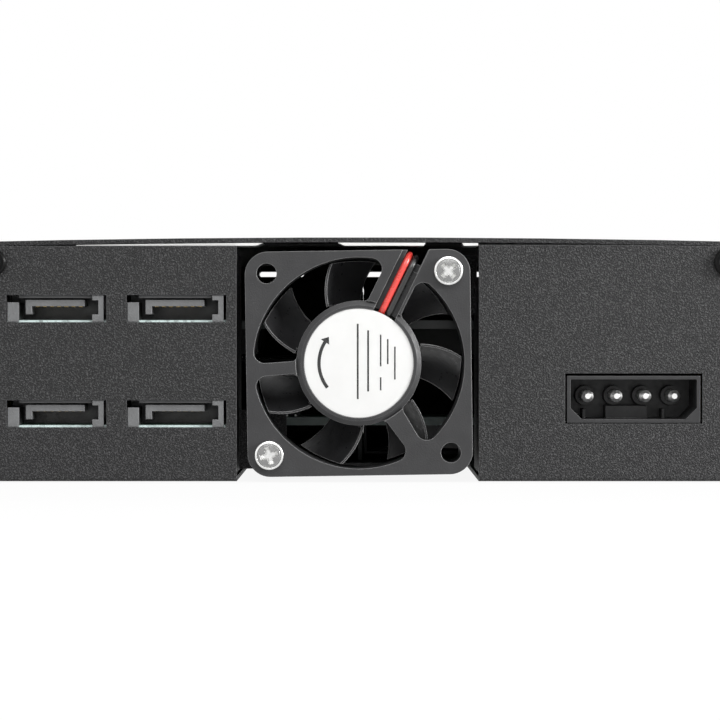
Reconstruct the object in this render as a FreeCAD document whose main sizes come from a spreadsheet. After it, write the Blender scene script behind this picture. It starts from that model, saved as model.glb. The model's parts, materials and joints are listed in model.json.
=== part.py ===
"""Hot swap drive cage: four 2.5 inch drive trays in one half-height 5.25 inch bay.

Frame: X across (right seen from the front), Y from the front to the rear, Z up, millimetres.
The origin is the centre of the bottom mounting hole pattern, on the underside of the floor.
"""

import FreeCAD, Part

import math
import os
import Sketcher

# ---------------------------------------------------------------- driving dimensions

SIZES = {
    # case
    "case_width": 146.0,
    "case_depth": 160.0,
    "side_height": 41.0,
    "sheet": 0.8,
    "bend_radius": 1.2,
    "top_return": 6.0,
    "cover_crown": 0.9,
    "cover_room": 2.3,
    "floor_notch": 46.0,
    # bay mounting holes
    "hole_setback": 47.4,
    "hole_spacing": 79.25,
    "side_hole_low": 10.0,
    "side_hole_high": 21.85,
    "bottom_hole_inset": 3.15,
    "tapped_radius": 1.25,
    "thread_radius": 1.2,
    "clear_radius": 1.6,
    # front bezel
    "bezel_lip": 1.25,
    "bezel_depth": 6.0,
    "slot_length": 10.8,
    "slot_height": 1.3,
    "slot_pitch": 24.2,
    "slot_shift": 6.75,
    "lamp_width": 1.4,
    "lamp_pitch": 2.4,
    # rows and columns
    "row_gap": 1.6,
    "bay_play": 0.42,
    "divider_sheet": 0.8,
    "ledge_reach": 2.0,
    "ledge_length": 12.0,
    # trays
    "tray_underside": 1.9,
    "tray_sheet": 0.5,
    "tray_wall": 9.0,
    "drive_lift": 0.5,
    "drive_hole_edge": 4.62,
    "drive_hole_near": 14.0,
    "drive_hole_front": 13.775,
    "front_depth": 8.4,
    "front_inset": 0.6,
    # levers and release buttons
    "barrel_radius": 3.2,
    "pin_radius": 1.0,
    "pin_clearance": 0.05,
    "lever_thick": 2.4,
    "latch_width": 11.0,
    "button_travel": 2.0,
    "vent_width": 3.2,
    "vent_height": 9.6,
    "vent_pitch": 5.4,
    # boards
    "board": 1.6,
    "board_top": 9.9,
    "board_depth": 51.375,
    "upper_strip": 30.5,
    "lower_strip": 12.5,
    "post_radius": 2.8,
    # sockets and ports
    "plug_lift": 3.5,
    "plug_offset": 4.8,
    "socket_width": 42.6,
    "socket_height": 5.8,
    "port_width": 16.8,
    "port_height": 4.3,
    "port_depth": 9.0,
    "port_pitch": 21.0,
    "port_margin": 10.68,
    "power_width": 23.3,
    "power_height": 8.2,
    "power_depth": 13.0,
    "power_margin": 27.08,
    "power_pin_pitch": 5.08,
    "power_pin_radius": 1.05,
    # fan
    "tunnel_depth": 18.0,
    "fan_room": 1.6,
    "fan_gap": 1.5,
    "fan_shift": 0.2,
    "fan_thick": 10.0,
    "fan_tilt": 0.85,
    "fan_hole_edge": 3.8,
    "fan_hole_radius": 1.75,
    "fan_corner": 4.0,
    "fan_plate": 1.6,
    "duct_wall": 1.2,
    "cup_radius": 10.95,
    "cup_depth": 3.4,
    "strut_angle": 116.85,
    "blade_count": 7,
    "blade_camber": 11.0,
    "blade_thick": 0.9,
    "blade_edge": 0.4,
    "rotor_phase": 33.5,
    "lead_radius": 0.58,
}


class Size:
    """A number together with the spreadsheet expression that gives it."""

    def __init__(self, number, text):
        self.number = float(number)
        self.text = text

    def __add__(self, other):
        other = size(other)
        return Size(self.number + other.number, f"({self.text} + {other.text})")

    def __sub__(self, other):
        other = size(other)
        return Size(self.number - other.number, f"({self.text} - {other.text})")

    def __mul__(self, other):
        other = size(other)
        return Size(self.number * other.number, f"({self.text} * {other.text})")

    def __truediv__(self, other):
        other = size(other)
        return Size(self.number / other.number, f"({self.text} / {other.text})")

    def __radd__(self, other):
        return size(other) + self

    def __rsub__(self, other):
        return size(other) - self

    def __rmul__(self, other):
        return size(other) * self

    def __neg__(self):
        return size(0) - self

    def sqrt(self):
        return Size(math.sqrt(self.number), f"sqrt({self.text})")

    def cos(self):
        return Size(math.cos(math.radians(self.number)), f"cos({self.text} * 1 deg)")

    def sin(self):
        return Size(math.sin(math.radians(self.number)), f"sin({self.text} * 1 deg)")

    def tan(self):
        return self.sin() / self.cos()


def size(value):
    return value if isinstance(value, Size) else Size(value, repr(float(value)))


doc = FreeCAD.newDocument("drive_cage")
sheet = doc.addObject("Spreadsheet::Sheet", "Sizes")
for row, (name, number) in enumerate(SIZES.items(), start=1):
    sheet.set(f"A{row}", name)
    sheet.set(f"B{row}", str(number))
    sheet.setAlias(f"B{row}", name)
doc.recompute()


class Sheet:
    """Each driving dimension as an attribute, read from the spreadsheet's own cell."""

    def __getattr__(self, name):
        return Size(getattr(sheet, name), f"Sizes.{name}")


D = Sheet()
parts = {}

# ---------------------------------------------------------------- modelling helpers

TURNS = {
    "X": FreeCAD.Rotation(FreeCAD.Vector(0, 1, 0), 90),
    "Y": FreeCAD.Rotation(FreeCAD.Vector(1, 0, 0), -90),
    "Z": FreeCAD.Rotation(),
    "down": FreeCAD.Rotation(FreeCAD.Vector(1, 0, 0), 180),
}


def bind(thing, prop, value):
    thing.setExpression(prop, size(value).text)


def place(thing, x=0, y=0, z=0):
    for axis, value in zip("xyz", (x, y, z)):
        bind(thing, f".Placement.Base.{axis}", value)
    return thing


def keep(name, thing):
    """Registers a finished sub-part under the name of its node."""
    if thing.isDerivedFrom("PartDesign::Body") and hasattr(thing.Tip, "Refine"):
        thing.Tip.Refine = True
    thing.Label = name
    parts[name] = thing
    return thing


def origin_feature(body, role):
    return next(f for f in body.Origin.OriginFeatures if f.Role == role)


def rect(x0, y0, x1, y1):
    return [(x0, y0), (x1, y0), (x1, y1), (x0, y1)]


def rounded(x0, y0, x1, y1, r):
    """A rectangle with round corners; a third value is the radius of the arc that follows."""
    return [
        (x0 + r, y0), (x1 - r, y0, r), (x1, y0 + r), (x1, y1 - r, r),
        (x1 - r, y1), (x0 + r, y1, r), (x0, y1 - r), (x0, y0 + r, r),
    ]


def circle(x, y, r):
    return ("circle", x, y, r)


def curve_between(start, end, radius):
    """A line, or the short arc that turns left (radius above zero) or right (below zero)."""
    if radius == 0:
        return Part.LineSegment(start, end)
    chord = end - start
    half = chord.Length / 2
    sag = abs(radius) - math.sqrt(radius ** 2 - half ** 2)
    right = FreeCAD.Vector(chord.y, -chord.x, 0).normalize()
    return Part.Arc(start, (start + end) / 2 + right * math.copysign(sag, radius), end)


def draw(body, plane, offset, loops):
    """A sketch on a plane of the body, with every point and radius bound to the sheet."""
    sketch = body.newObject("Sketcher::SketchObject", "Sketch")
    sketch.AttachmentSupport = [(origin_feature(body, f"{plane}_Plane"), "")]
    sketch.MapMode = "FlatFace"
    bind(sketch, ".AttachmentOffset.Base.z", offset)
    curves = []
    rules = []
    driven = []

    def rule(kind, *values, driver):
        driven.append((len(rules), driver))
        rules.append(Sketcher.Constraint(kind, *values, driver.number))

    def fix_point(index, end, x, y):
        rule("DistanceX", -1, 1, index, end, driver=size(x))
        rule("DistanceY", -1, 1, index, end, driver=size(y))

    for loop in loops:
        first = len(curves)
        if loop[0] == "circle":
            x, y, r = (size(v) for v in loop[1:])
            centre = FreeCAD.Vector(x.number, y.number, 0)
            curves.append(Part.Circle(centre, FreeCAD.Vector(0, 0, 1), r.number))
            fix_point(first, 3, x, y)
            rule("Radius", first, driver=r)
            continue
        count = len(loop)
        radii = [size(p[2]) if len(p) == 3 else size(0) for p in loop]
        spots = [FreeCAD.Vector(size(p[0]).number, size(p[1]).number, 0) for p in loop]
        for i, point in enumerate(loop):
            after = (i + 1) % count
            start = 2 if radii[i].number < 0 else 1
            next_start = 2 if radii[after].number < 0 else 1
            curves.append(curve_between(spots[i], spots[after], radii[i].number))
            fix_point(first + i, start, point[0], point[1])
            rules.append(Sketcher.Constraint("Coincident", first + i, 3 - start, first + after, next_start))
            if radii[i].number:
                rule("Radius", first + i, driver=radii[i] if start == 1 else -radii[i])
    sketch.addGeometry(curves, False)
    sketch.addConstraint(rules)
    for index, driver in driven:
        if "Sizes" in driver.text:
            bind(sketch, f"Constraints[{index}]", driver)
    return sketch


def add_feature(body, kind, **values):
    feature = body.newObject(f"PartDesign::{kind}", kind)
    feature.Refine = False
    for prop, value in values.items():
        setattr(feature, prop, value)
    body.Tip = feature
    return feature


def pad(body, plane, low, high, *loops):
    """A pad between two coordinates along the plane's normal axis."""
    start = -size(high) if plane == "XZ" else low
    feature = add_feature(body, "Pad", Profile=draw(body, plane, start, loops))
    bind(feature, "Length", size(high) - low)
    return feature


def pocket(body, plane, low, high, *loops):
    """A pocket between two coordinates along the plane's normal axis."""
    start = -size(low) if plane == "XZ" else high
    feature = add_feature(body, "Pocket", Profile=draw(body, plane, start, loops))
    bind(feature, "Length", size(high) - low)
    return feature


def revolve(body, kind, plane, axis, *loops):
    """A full turn of a sketch about one of the body's own axes."""
    feature = add_feature(body, kind, Profile=draw(body, plane, 0, loops))
    feature.ReferenceAxis = (origin_feature(body, f"{axis}_Axis"), [""])
    feature.Angle = 360
    return feature


def repeat_line(body, feature, axis, length, count, backwards=False):
    """Copies of a feature along one of the body's own axes."""
    pattern = add_feature(body, "LinearPattern", Originals=[feature], Occurrences=count, Reversed=backwards)
    pattern.Direction = (origin_feature(body, f"{axis}_Axis"), [""])
    bind(pattern, "Length", length)
    return pattern


def repeat_turn(body, feature, axis, count):
    """Copies of a feature about one of the body's own axes."""
    pattern = add_feature(body, "PolarPattern", Originals=[feature], Angle=360)
    pattern.Axis = (origin_feature(body, f"{axis}_Axis"), [""])
    bind(pattern, "Occurrences", count)
    return pattern


def round_edges(body, radius, wanted):
    """A fillet on the edges of the body so far that satisfy a test."""
    doc.recompute()
    base = body.Tip
    names = [f"Edge{i}" for i, edge in enumerate(base.Shape.Edges, start=1) if wanted(edge)]
    feature = add_feature(body, "Fillet", Base=(base, names))
    bind(feature, "Radius", radius)
    return feature


def straight_edges(axis, wanted):
    """A test for straight edges along an axis, by the place of their middle."""
    index = "XYZ".index(axis)

    def test(edge):
        ends = [v.Point for v in edge.Vertexes]
        if len(ends) != 2 or not isinstance(edge.Curve, Part.Line):
            return False
        run = (ends[0] - ends[1]).Length
        return run - abs(ends[0][index] - ends[1][index]) < 1e-6 and wanted((ends[0] + ends[1]) / 2)

    return test


def box(x0, x1, y0, y1, z0, z1):
    thing = doc.addObject("Part::Box", "Box")
    for prop, low, high in (("Length", x0, x1), ("Width", y0, y1), ("Height", z0, z1)):
        bind(thing, prop, size(high) - low)
    return place(thing, x0, y0, z0)


def cylinder(axis, x, y, z, radius, length):
    """A cylinder that starts at a point and runs along +axis."""
    thing = doc.addObject("Part::Cylinder", "Cylinder")
    bind(thing, "Radius", radius)
    bind(thing, "Height", length)
    thing.Placement.Rotation = TURNS[axis]
    return place(thing, x, y, z)


def ring(y, outer, inner, length):
    return cut(cylinder("Y", 0, y, 0, outer, length), cylinder("Y", 0, y, 0, inner, length))


def hexagon(x, y, z, radius, height):
    thing = doc.addObject("Part::Prism", "Hexagon")
    bind(thing, "Circumradius", radius)
    bind(thing, "Height", height)
    return place(thing, x, y, z)


def cut(base, tool):
    thing = doc.addObject("Part::Cut", "Cut")
    thing.Base = base
    thing.Tool = tool
    return thing


def fuse(*things):
    thing = doc.addObject("Part::MultiFuse", "Fusion")
    thing.Shapes = list(things)
    return thing


def group(*things):
    thing = doc.addObject("Part::Compound", "Compound")
    thing.Links = list(things)
    return thing


def new_body(name):
    return doc.addObject("PartDesign::Body", name)


# ---------------------------------------------------------------- shared places

LEFT_AND_RIGHT = (-1, 1)
ROWS = (0, 1)
PRESS = 0.1

half_width = D.case_width / 2
wall_face = half_width - D.sheet
bezel_back = -(D.hole_setback + D.hole_spacing / 2)
bezel_front = bezel_back - D.bezel_depth
bezel_height = D.side_height + D.sheet + D.cover_crown + 0.1
rear = bezel_back + D.case_depth
rear_inside = rear - D.sheet
row_pitch = (D.side_height - D.tray_underside - D.cover_room) / 2
front_height = row_pitch - D.row_gap
board_bottom = D.board_top - D.board
board_side = half_width - 2.5
board_rear = rear_inside - 0.3
board_front = board_rear - D.board_depth
drive_back = board_front - 0.15
tray_inner = D.divider_sheet / 2 + D.bay_play
tray_outer = wall_face - D.bay_play
tray_middle = (tray_inner + tray_outer) / 2
tray_back = board_front - 6.5
front_face = bezel_front + D.front_inset
front_back = front_face + D.front_depth
window_play = 0.15
window_rise = 0.3
slot_level = bezel_height - 2.9
ledge_top = D.tray_underside + row_pitch - 0.4
divider_front = bezel_back + 0.3
divider_back = board_front - 1.5
fan_size = D.side_height - D.fan_room
fan_hole_pitch = fan_size - 2 * D.fan_hole_edge
duct_radius = fan_size / 2 - D.duct_wall
tunnel_middle = 0.4
tunnel_half = fan_size / 2 + D.fan_gap
tunnel_left = tunnel_middle - tunnel_half
tunnel_right = tunnel_middle + tunnel_half
wing_start = tunnel_half + 2.3
fan_level = D.side_height / 2 + 0.2
fan_front = rear - D.fan_thick
screw_near = fan_hole_pitch / 2 * (D.fan_tilt.cos() - D.fan_tilt.sin())
screw_far = fan_hole_pitch / 2 * (D.fan_tilt.cos() + D.fan_tilt.sin())
label_radius = D.cup_radius - 1.4
cover_screw_inset = 3.4
cover_screw_head = 2.4
power_middle = tunnel_left - D.power_margin
slot_end = D.slot_shift - D.slot_pitch * 1.5 - D.slot_length / 2


def three_places(first, last):
    return (first, (first + last) / 2, last)


FAN_SCREWS = (
    (D.fan_shift - screw_near, fan_level + screw_far), (D.fan_shift + screw_near, fan_level - screw_far))
COVER_SCREWS = [
    ((half_width - cover_screw_inset) * s, y)
    for s in LEFT_AND_RIGHT for y in three_places(bezel_back + 17.0, rear - 17.0)]
REAR_SCREWS = [((half_width - 8.7) * s, D.side_height - 2.7) for s in LEFT_AND_RIGHT]
BOARD_POSTS = [((board_side - 4.5) * s, board_front + y) for s in LEFT_AND_RIGHT for y in (6.5, 25.5)]
LEDGES = three_places(divider_front + 20.7, divider_back - 13.0)
FEET = [(y - 4.0, y + 4.0) for y in LEDGES]
PORTS = [
    (tunnel_right + D.port_margin + D.port_pitch * column, D.board_top + row_pitch * row)
    for row in ROWS for column in (1, 0)]
lamp_middle = slot_end + D.slot_length / 2 - D.slot_pitch
LAMPS = [lamp_middle - D.lamp_pitch * (i - 1.5) for i in range(4)]


def across(side, low, high):
    """Two X places given for the right-hand column, in ascending order on either side."""
    return (size(low), size(high)) if side > 0 else (-size(high), -size(low))


# ---------------------------------------------------------------- case


def make_chassis():
    body = new_body("Chassis")
    w, h, t, f = half_width, D.side_height, D.sheet, D.top_return
    pad(body, "XZ", bezel_back, rear_inside, [
        (-w, 0), (w, 0), (w, h), (w - f, h), (w - f, h - t), (w - t, h - t), (w - t, t),
        (t - w, t), (t - w, h - t), (f - w, h - t), (f - w, h), (-w, h)])
    round_edges(body, D.bend_radius, straight_edges(
        "Y", lambda p: abs(p.x) > w.number - 0.01 and (p.z < 0.01 or p.z > h.number - 0.01)))
    pocket(body, "XY", 0, t, rect(tunnel_left, rear - D.floor_notch, tunnel_right, rear))
    low_rise, high_rise = D.cover_crown * 0.2, D.cover_crown * 0.4
    ports_side = [
        (tunnel_right, 0), (w, 0), (w, h), (w * 0.95, h), (w * 0.8, h + low_rise),
        (tunnel_right, h + low_rise)]
    power_side = [
        (-w, 0), (tunnel_left, 0), (tunnel_left, h + high_rise), (-w * 0.65, h + high_rise),
        (-w * 0.95, h), (-w, h)]
    pad(body, "XZ", rear_inside, rear, ports_side, power_side)
    round_edges(body, D.bend_radius / 2, straight_edges(
        "X", lambda p: p.y > rear.number - 0.01 and p.z < 0.01))
    add_tunnel(body)
    cut_rear_panels(body)
    cut_case_holes(body)
    keep("chassis", body)


def add_tunnel(body):
    """Returns beside the fan, and the two ears that its screws go into."""
    low = 1.5
    high = D.side_height - 1.2
    front = rear - D.tunnel_depth
    lead_gap = 4.2
    back = rear_inside + PRESS
    pad(body, "YZ", tunnel_right, tunnel_right + D.sheet, rect(front, low, back, high))
    pad(body, "YZ", tunnel_left - D.sheet, tunnel_left, rect(front, low, back, high - lead_gap))
    side, edge, rise = 2.7, 2.9, 7.6
    (x0, z0), (x1, z1) = FAN_SCREWS
    pad(body, "XZ", fan_front - D.sheet, fan_front,
        rect(tunnel_left - PRESS, z0 - rise, x0 + side, z0 + edge),
        rect(x1 - side, z1 - edge, tunnel_right + PRESS, z1 + rise))
    pocket(body, "XZ", fan_front - D.sheet, fan_front, *[
        circle(x, z, D.tapped_radius) for x, z in FAN_SCREWS])


BOARD_SHOW = 0.45
POWER_LIFT = 0.35


def cut_rear_panels(body):
    """Openings for the ports, the power inlet and the cover's rear screws."""
    snug, loose = 0.15, 0.5
    half = D.port_width / 2
    loops = [rect(x - half - loose, z - BOARD_SHOW, x + half + snug, z + D.port_height) for x, z in PORTS]
    half = D.power_width / 2 + 0.35
    low = D.board_top + POWER_LIFT
    loops.append(rect(
        power_middle - half, low - snug, power_middle + half, low + D.power_height + BOARD_SHOW))
    loops += [circle(x, z, D.clear_radius) for x, z in REAR_SCREWS]
    pocket(body, "XZ", rear_inside, rear, *loops)


def cut_case_holes(body):
    """Bay mounting holes, and the small holes that the rest of the cage is fixed by."""
    y = D.hole_spacing / 2
    pocket(body, "YZ", -half_width, half_width, *[
        circle(y * s, z, D.tapped_radius)
        for s in LEFT_AND_RIGHT for z in (D.side_hole_low, D.side_hole_high)])
    x = half_width - D.bottom_hole_inset
    loops = [circle(x * sx, y * sy, D.tapped_radius) for sx in LEFT_AND_RIGHT for sy in LEFT_AND_RIGHT]
    loops += [circle(x, y, D.clear_radius) for x, y in BOARD_POSTS]
    slack = 0.05
    slot = D.divider_sheet / 2 + slack
    loops += [rect(-slot, start - slack, slot, end + slack) for start, end in FEET]
    pocket(body, "XY", 0, D.sheet, *loops)
    pocket(body, "XY", D.side_height - D.sheet, D.side_height, *[
        circle(x, y, D.tapped_radius) for x, y in COVER_SCREWS])


def make_guides():
    """Rails on the side walls for the upper trays, and runners on the floor for the lower ones."""
    taper = 3.0
    thick = 0.8
    start = divider_front + 6.5
    rails = []
    for side in LEFT_AND_RIGHT:
        rail = new_body("SideRail")
        outline = [(wall_face, start), (wall_face, tray_back), (wall_face - D.ledge_reach, tray_back),
                   (wall_face - D.ledge_reach, start + taper)]
        if side < 0:
            outline = [(-x, y) for x, y in reversed(outline)]
        pad(rail, "XY", ledge_top - thick, ledge_top, outline)
        rails.append(keep_plain(rail))
    width = 2.4
    setback = 8.0
    high = D.tray_underside - window_rise
    for side in LEFT_AND_RIGHT:
        for low in (tray_inner + setback, tray_outer - setback - width):
            runner = new_body("FloorRunner")
            x0, x1 = across(side, low, low + width)
            pad(runner, "YZ", x0, x1, [
                (start, D.sheet), (tray_back, D.sheet), (tray_back, high), (start + taper, high)])
            rails.append(keep_plain(runner))
    keep("tray_guides", group(*rails))


def make_cover():
    """A plate with a slight crown, and two tabs that the rear screws hold."""
    body = new_body("TopCover")
    w, h, t, c = half_width, D.side_height, D.sheet, D.cover_crown
    radius = (w * w + c * c) / (c * 2)
    pad(body, "XZ", bezel_back, rear_inside, [(w, h), (w, h + t, radius), (-w, h + t), (-w, h, -radius)])
    reach = 2.4
    drop = 5.6
    pad(body, "XZ", rear_inside - t, rear_inside, *[
        rect(x - reach, z - drop / 2, x + reach, h + t / 2) for x, z in REAR_SCREWS])
    pocket(body, "XZ", rear_inside - t, rear_inside, *[circle(x, z, D.tapped_radius) for x, z in REAR_SCREWS])
    pocket(body, "XY", h - PRESS, h + t + c, *[circle(x, y, D.clear_radius) for x, y in COVER_SCREWS])
    keep("top_cover", body)


def make_divider():
    """The sheet wall between the two columns, with feet in the floor and lanced ledges."""
    body = new_body("CenterDivider")
    t = D.divider_sheet / 2
    front, back = divider_front, divider_back
    top = D.side_height - 3.4
    outline = [(front, D.sheet)]
    for start, end in FEET:
        outline += [(start, D.sheet), (start, 0), (end, 0), (end, D.sheet)]
    outline += [(back, D.sheet), (back, top), (front, top)]
    pad(body, "YZ", -t, t, outline)
    half = D.ledge_length / 2
    gap = 0.5
    reach = t + D.ledge_reach
    low = ledge_top - D.divider_sheet
    tabs = [rect(-PRESS, y - half, reach, y - gap) for y in LEDGES]
    tabs += [rect(-reach, y + gap, PRESS, y + half) for y in LEDGES]
    pad(body, "XY", low, ledge_top, *tabs)
    pocket(body, "YZ", -t, t, *[rect(y - half, low - D.ledge_reach, y + half, low) for y in LEDGES])
    corner = 2.0
    for before, after in zip(LEDGES, LEDGES[1:]):
        y = (before + after) / 2
        pocket(body, "YZ", -t, t, *[
            rounded(y - 5 * corner, z, y + 5 * corner, z + 4 * corner, corner)
            for z in (2 * corner, row_pitch + 3 * corner)])
    keep("center_divider", body)


def make_bezel():
    """The moulded front frame: four windows, a row of vent slots and the lamp holes."""
    body = new_body("FrontBezel")
    w = half_width + D.bezel_lip
    windows = []
    for side in LEFT_AND_RIGHT:
        x0, x1 = across(side, tray_inner - window_play, tray_outer + window_play)
        for row in ROWS:
            z = D.tray_underside + row_pitch * row
            windows.append(rect(x0, z - window_rise, x1, z + front_height + window_rise))
    pad(body, "XZ", bezel_front, bezel_back, rounded(-w, 0, w, bezel_height, D.bezel_lip), *windows)
    rise = D.slot_height / 2
    spans = 3
    slot = pocket(body, "XZ", bezel_front, bezel_back, rounded(
        slot_end, slot_level - rise, slot_end + D.slot_length, slot_level + rise, rise * 0.98))
    repeat_line(body, slot, "X", D.slot_pitch * spans, spans + 1)
    hole = D.lamp_width / 2 + 0.05
    pocket(body, "XZ", bezel_front, bezel_back, *[
        rect(x - hole, slot_level - hole, x + hole, slot_level + hole) for x in LAMPS])
    reach = 6.0
    thick = 0.8
    under = D.side_height - D.sheet - 0.1
    over = D.sheet + 0.05
    clips = []
    for side in LEFT_AND_RIGHT:
        x0, x1 = across(side, wall_face - 5.4, wall_face - 1.0)
        clips.append(rect(x0, under - thick, x1, under))
        x0, x1 = across(side, tray_middle - reach, tray_middle + reach)
        clips.append(rect(x0, over, x1, over + thick * 0.8))
    pad(body, "XZ", bezel_back, bezel_back + reach, *clips)
    add_stops(body, thick)
    keep("front_bezel", body)


def add_stops(body, thick):
    """A shelf behind each window, with a lip that a closed tray's front comes up against."""
    play = 0.5
    lap = 0.8
    lip = front_back + play
    for side in LEFT_AND_RIGHT:
        x0, x1 = across(side, tray_inner, tray_outer)
        for row in ROWS:
            front_top = D.tray_underside + row_pitch * row + front_height
            start, low, shelf = bezel_back - PRESS, front_top - lap, front_top + window_rise + 0.1
            pad(body, "YZ", x0, x1, [
                (start, shelf), (lip, shelf), (lip, low), (lip + thick, low), (lip + thick, shelf + thick),
                (start, shelf + thick)])


# ---------------------------------------------------------------- boards and connectors


def make_boards():
    """Two boards: the upper one has one wing beside the fan, the lower one has two."""
    right = [(-board_side, board_front), (board_side, board_front), (board_side, board_rear),
             (wing_start, board_rear)]
    strip = board_front + D.upper_strip
    upper = right + [(wing_start, strip), (-board_side, strip)]
    strip = board_front + D.lower_strip
    lower = right + [(wing_start, strip), (-wing_start, strip), (-wing_start, board_rear),
                     (-board_side, board_rear)]
    for name, outline, row in (("lower_board", lower, 0), ("upper_board", upper, 1)):
        body = new_body(name)
        low = board_bottom + row_pitch * row
        pad(body, "XY", low, low + D.board, outline)
        pocket(body, "XY", low, low + D.board, *[circle(x, y, D.clear_radius) for x, y in BOARD_POSTS])
        keep(name, body)
    body = new_body("BoardLink")
    x, y = power_middle + 8.0, board_front + 21.5
    length, thick = 20.0, 5.0
    pad(body, "XY", D.board_top, board_bottom + row_pitch, rect(x - length / 2, y, x + length / 2, y + thick))
    seam = D.board_top + 8.0
    half = length / 2 - 1.0
    pocket(body, "XZ", y + thick - 0.7, y + thick, rect(x - half, seam, x + half, seam + 0.4))
    keep("board_link", body)


def make_posts():
    """Hexagonal posts: swaged into the floor below, studded through the lower board above."""
    posts = []
    bore = 4.6
    stud = 4.0
    gap = board_bottom + row_pitch - D.board_top
    for x, y in BOARD_POSTS:
        shank = cylinder("Z", x, y, 0, D.clear_radius - 0.05, D.sheet)
        lower = fuse(shank, hexagon(x, y, D.sheet, D.post_radius, board_bottom - D.sheet))
        posts.append(cut(lower, cylinder("Z", x, y, board_bottom - bore, D.tapped_radius, bore)))
        upper = fuse(cylinder("Z", x, y, D.board_top - D.board - stud, D.thread_radius, stud + D.board),
                     hexagon(x, y, D.board_top, D.post_radius, gap))
        posts.append(cut(upper, cylinder("Z", x, y, D.board_top + gap - bore, D.tapped_radius, bore)))
        posts.append(screw("BoardScrew", x, y, D.board_top + row_pitch, "Z", D.post_radius - 0.3, 1.4, stud))
    keep("board_standoffs", group(*posts))


def key_slot(x0, x1, z, tall, key):
    """An L-shaped slot: a flat blade with a key that turns down at its low-X end."""
    return [(x0, z - key), (x0 + tall, z - key), (x0 + tall, z), (x1, z), (x1, z + tall), (x0, z + tall)]


def make_drive_sockets():
    """One receptacle for each drive, on the front edges of the boards."""
    overlap, depth = 4.5, 8.5
    slot, key, slot_depth = 1.5, 1.1, 5.6
    signal, power = (-16.8, -5.8), (-4.0, 17.4)
    bays = [(row, side) for row in ROWS for side in (1, -1)]
    for number, (row, side) in enumerate(bays, start=1):
        body = new_body(f"DriveSocket{number}")
        middle = tray_middle * side + D.plug_offset
        plug = D.tray_underside + D.tray_sheet + D.drive_lift + D.plug_lift + row_pitch * row
        under = board_bottom + row_pitch * row
        low, high = plug - D.socket_height / 2, plug + D.socket_height / 2
        front = board_front - overlap
        back = front + depth
        half = D.socket_width / 2
        pad(body, "YZ", middle - half, middle + half, [
            (front, low), (back, low), (back, under), (board_front, under), (board_front, high),
            (front, high)])
        pocket(body, "XZ", front, front + slot_depth, *[
            key_slot(middle + x0, middle + x1, plug - 0.4, slot, key) for x0, x1 in (signal, power)])
        keep(f"drive_socket_{number}", body)


def make_ports():
    """Right-angle signal ports that show in the rear panel, each with an L-shaped tongue."""
    face = rear - 0.2
    back = face - D.port_depth
    half = D.port_width / 2
    wall = 2.6
    floor = back + wall
    block, block_height = 1.95, 3.0
    lip, hood = 0.9, 0.5
    tongue, key, setback = 1.1, 1.4, 0.8
    contact, pitch, count = 0.7, 1.27, 7
    contacts = []
    for number, (x, z) in enumerate(PORTS, start=1):
        body = new_body(f"SataPort{number}")
        top = z + D.port_height
        pad(body, "XZ", back, floor, rect(x - half, z, x + half, top))
        bracket = [
            (x - half, z), (x - half + block, z), (x - half + block, z + lip), (x - half + lip, z + lip),
            (x - half + lip, top - lip), (x - half + block, top - lip), (x - half + block, top),
            (x - half, top)]
        pad(body, "XZ", floor, face, rect(x + half - block, z, x + half, z + block_height), bracket)
        pad(body, "XZ", floor, face - setback, rect(x - half + block, top - hood, x + half - block, top))
        foot = z - BOARD_SHOW + 0.05
        pad(body, "XZ", board_rear + 0.1, face, *[
            rect(x0, foot, x0 + block, z + PRESS) for x0 in (x - half, x + half - block)])
        left, right = x + 5.3, x - 5.0
        blade = top - 0.85
        pad(body, "XZ", floor, face - setback, [
            (right, blade - tongue), (left - tongue, blade - tongue), (left - tongue, blade - tongue - key),
            (left, blade - tongue - key), (left, blade), (right, blade)])
        keep(f"sata_port_{number}", body)
        for i in range(count):
            start = x + pitch * (i - (count - 1) / 2) - 0.6
            under = blade - tongue
            contacts.append(box(start, start + contact, floor, face - 4 * setback, under - 0.1, under))
    keep("sata_contacts", group(*contacts))


def make_power_inlet():
    """The four-pin power inlet, keyed by two chamfered corners, and its pins."""
    body = new_body("PowerHeader")
    face = rear - 0.1
    back = face - D.power_depth
    x, z = power_middle, D.board_top + POWER_LIFT
    half, top = D.power_width / 2, z + D.power_height
    wall, chamfer, floor, boss = 0.6, 2.0, 2.5, 2.6
    boss_radius = D.power_pin_radius + 0.7
    pad(body, "XZ", back, face, rect(x - half, z, x + half, top))
    left, right, low, high = x - half + wall, x + half - wall, z + wall, top - wall
    pocket(body, "XZ", back + floor, face, [
        (left + chamfer, low), (right - chamfer, low), (right, low + chamfer), (right, high), (left, high),
        (left, low + chamfer)])
    add_keys(body, x, low, back + floor)
    level = (low + high) / 2 + 0.5
    spots = [x + 0.2 + D.power_pin_pitch * (i - 1.5) for i in range(4)]
    pad(body, "XZ", back + floor, back + floor + boss, *[circle(px, level, boss_radius) for px in spots])
    bore = D.power_pin_radius + 0.02
    pocket(body, "XZ", back, back + floor + boss, *[circle(px, level, bore) for px in spots])
    keep("power_header", body)
    pins = []
    length = D.power_depth - 2.0
    tip = 0.7
    for px in spots:
        pin = new_body("PowerPin")
        r = D.power_pin_radius
        revolve(pin, "Revolution", "XY", "Y", [
            (0, 0), (r, 0), (r, length - tip), (r * 0.45, length), (0, length)])
        pins.append(place(pin, px, back, level))
    keep("power_pins", group(*pins))


def add_keys(body, x, low, floor):
    """A wide key and two narrow ribs on the bottom wall inside the inlet."""
    length = 4.0
    key = rect(x - 3.1, low - PRESS, x + 4.3, low + 2.2)
    ribs = [rect(x + offset, low - PRESS, x + offset + 0.5, low + 1.6) for offset in (-6.2, 7.9)]
    pad(body, "XZ", floor - PRESS, floor + length, key, *ribs)


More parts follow.
